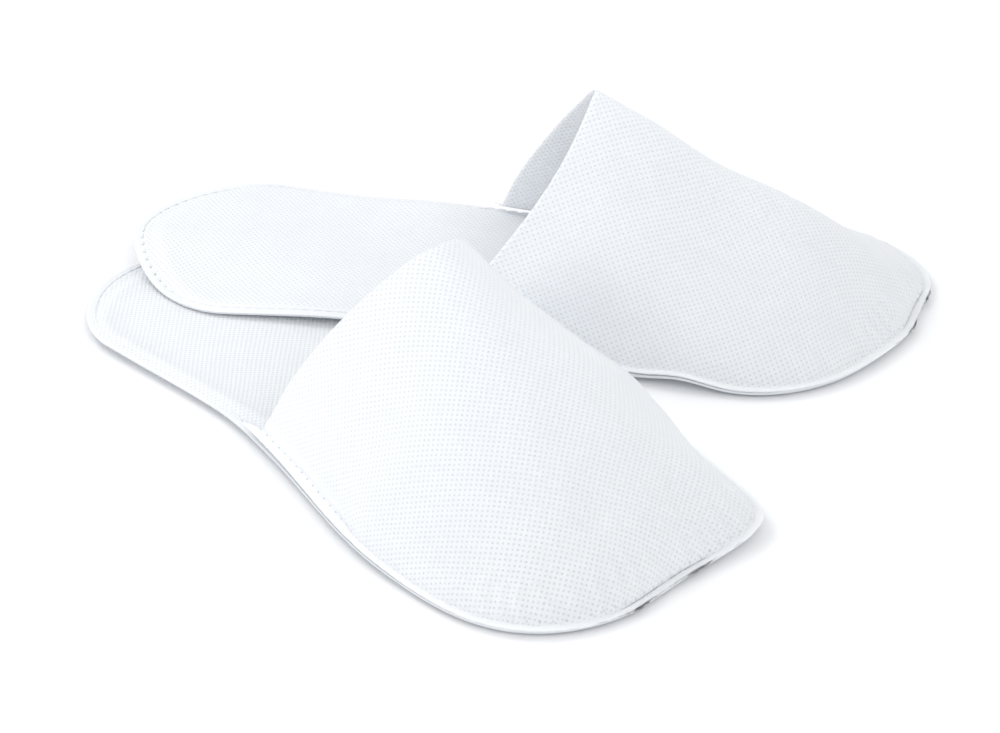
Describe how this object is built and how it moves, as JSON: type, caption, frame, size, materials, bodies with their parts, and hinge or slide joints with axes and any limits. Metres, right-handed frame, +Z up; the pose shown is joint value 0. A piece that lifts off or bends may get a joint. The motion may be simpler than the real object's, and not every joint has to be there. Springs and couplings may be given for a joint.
{
  "type": "spa slippers",
  "caption": "Pair of soft closed-toe spa slippers: a thin padded sole and an open-backed cloth vamp sewn round the toe of each.",
  "frame": {"origin": "centre of the pair on the floor", "axes": "+X to the right along the rear slipper, +Y away from the front slipper's toe, +Z up"},
  "size_m": [0.3012, 0.289, 0.0801],
  "materials": {
    "vamp_fabric": "matte embossed non-woven",
    "insole_fabric": "matte fine non-woven",
    "outsole_fabric": "matte non-woven",
    "foam_core": "matte closed-cell foam",
    "seam_thread": "matte polyester thread"
  },
  "bodies": {
    "front_heel": {"front_outsole_heel": "outsole_fabric", "front_foam_heel": "foam_core", "front_insole_heel": "insole_fabric", "front_needle_thread_heel": "seam_thread", "front_bobbin_thread_heel": "seam_thread"},
    "front_forefoot": {"front_outsole_forefoot": "outsole_fabric", "front_foam_forefoot": "foam_core", "front_insole_forefoot": "insole_fabric", "front_needle_thread_forefoot": "seam_thread", "front_bobbin_thread_forefoot": "seam_thread", "front_vamp": "vamp_fabric"},
    "rear_forefoot": {"rear_outsole_forefoot": "outsole_fabric", "rear_foam_forefoot": "foam_core", "rear_insole_forefoot": "insole_fabric", "rear_needle_thread_forefoot": "seam_thread", "rear_bobbin_thread_forefoot": "seam_thread", "rear_vamp": "vamp_fabric"},
    "rear_heel": {"rear_outsole_heel": "outsole_fabric", "rear_foam_heel": "foam_core", "rear_insole_heel": "insole_fabric", "rear_needle_thread_heel": "seam_thread", "rear_bobbin_thread_heel": "seam_thread"}
  },
  "joints": [
    {"name": "front_flex", "type": "hinge", "parent": "front_heel", "child": "front_forefoot", "pos_m": [-0.06131, 0.01357, 0.0038], "axis": [-0.742, -0.6704, 0], "range_deg": [0, 7], "stiffness_Nm_per_rad": 0.02},
    {"name": "rear_lift", "type": "slide", "parent": "front_heel", "child": "rear_forefoot", "axis": [0, 0, 1], "range_m": [0, 0.09]},
    {"name": "rear_flex", "type": "hinge", "parent": "rear_forefoot", "child": "rear_heel", "pos_m": [-0.02571, 0.08457, 0.00904], "axis": [0.2104, 0.9776, 0], "range_deg": [0, 40], "stiffness_Nm_per_rad": 0.02}
  ]
}
